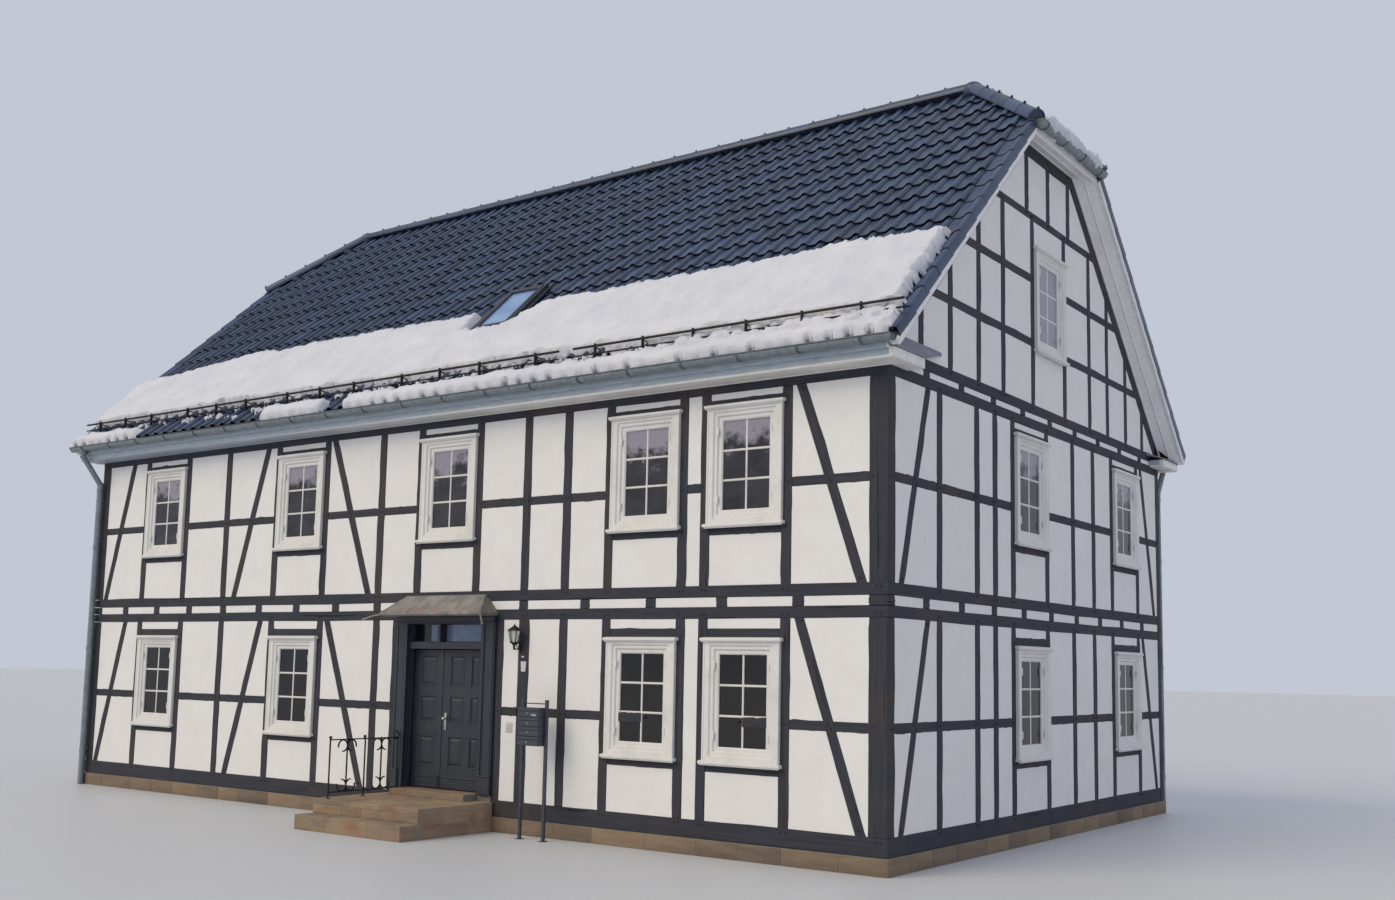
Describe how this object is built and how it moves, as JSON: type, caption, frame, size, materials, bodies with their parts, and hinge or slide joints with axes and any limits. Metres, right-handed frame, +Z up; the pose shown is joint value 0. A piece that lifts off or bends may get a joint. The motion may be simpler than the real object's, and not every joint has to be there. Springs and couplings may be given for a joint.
{
  "type": "half-timbered house",
  "caption": "Two-storey half-timbered house with a half-hipped tiled roof, hollow inside, with a double entrance door whose leaves swing inwards.",
  "frame": {"origin": "middle of the footprint of the walls, at ground level, on the plane of the plinth's underside", "axes": "+Y from the entrance front to the back, +X to the gable on the right of someone who faces the entrance front, +Z up"},
  "size_m": [16.89, 11.87, 11.1362],
  "materials": {
    "timber": "anthracite painted timber, matt",
    "plaster": "white lime plaster, matt",
    "plinth_stone": "dressed sandstone",
    "white_paint": "white painted wood, satin",
    "window_glass": "clear glass",
    "door_paint": "dark blue-grey painted wood",
    "door_metal": "brushed steel",
    "roof_tile": "blue-black glazed clay tile",
    "zinc": "weathered zinc sheet",
    "canopy_sheet": "weathered sheet metal",
    "wrought_iron": "black painted iron",
    "box_paint": "dark grey powder coat",
    "floor_boards": "planed boards"
  },
  "bodies": {
    "house": {"stone_plinth": "plinth_stone", "ground_floor": "floor_boards", "upper_floor": "floor_boards", "attic_floor": "floor_boards", "front_left_frame": "timber", "front_right_frame": "timber", "front_upper_frame": "timber", "back_frame": "timber", "right_gable_frame": "timber", "left_gable_frame": "timber", "front_left_infill": "plaster", "front_right_infill": "plaster", "front_upper_infill": "plaster", "back_infill": "plaster", "right_gable_infill": "plaster", "left_gable_infill": "plaster", "front_window_frames": "white_paint", "back_window_frames": "white_paint", "right_window_frames": "white_paint", "left_window_frames": "white_paint", "front_window_glass": "window_glass", "back_window_glass": "window_glass", "right_window_glass": "window_glass", "left_window_glass": "window_glass", "door_frame": "door_paint", "transom_glass": "window_glass", "door_canopy": "canopy_sheet", "door_steps": "plinth_stone", "step_railing": "wrought_iron", "front_roof": "roof_tile", "back_roof": "roof_tile", "right_half_hip": "roof_tile", "left_half_hip": "roof_tile", "ridge_tiles": "roof_tile", "right_verge": "white_paint", "left_verge": "white_paint", "front_cornice": "white_paint", "back_cornice": "white_paint", "gutters": "zinc", "downpipes": "zinc", "snow_guard": "wrought_iron", "roof_window": "zinc", "wall_lantern": "wrought_iron", "letter_box": "box_paint"},
    "narrow_leaf": {"narrow_door_leaf": "door_paint"},
    "wide_leaf": {"wide_door_leaf": "door_paint", "door_handles": "door_metal"}
  },
  "joints": [
    {"name": "narrow_leaf_hinge", "type": "hinge", "parent": "house", "child": "narrow_leaf", "pos_m": [0.256, -4.67, 0.487], "axis": [0, 0, 1], "range_deg": [0, 90]},
    {"name": "wide_leaf_hinge", "type": "hinge", "parent": "house", "child": "wide_leaf", "pos_m": [1.714, -4.67, 0.487], "axis": [0, 0, -1], "range_deg": [0, 90]}
  ]
}
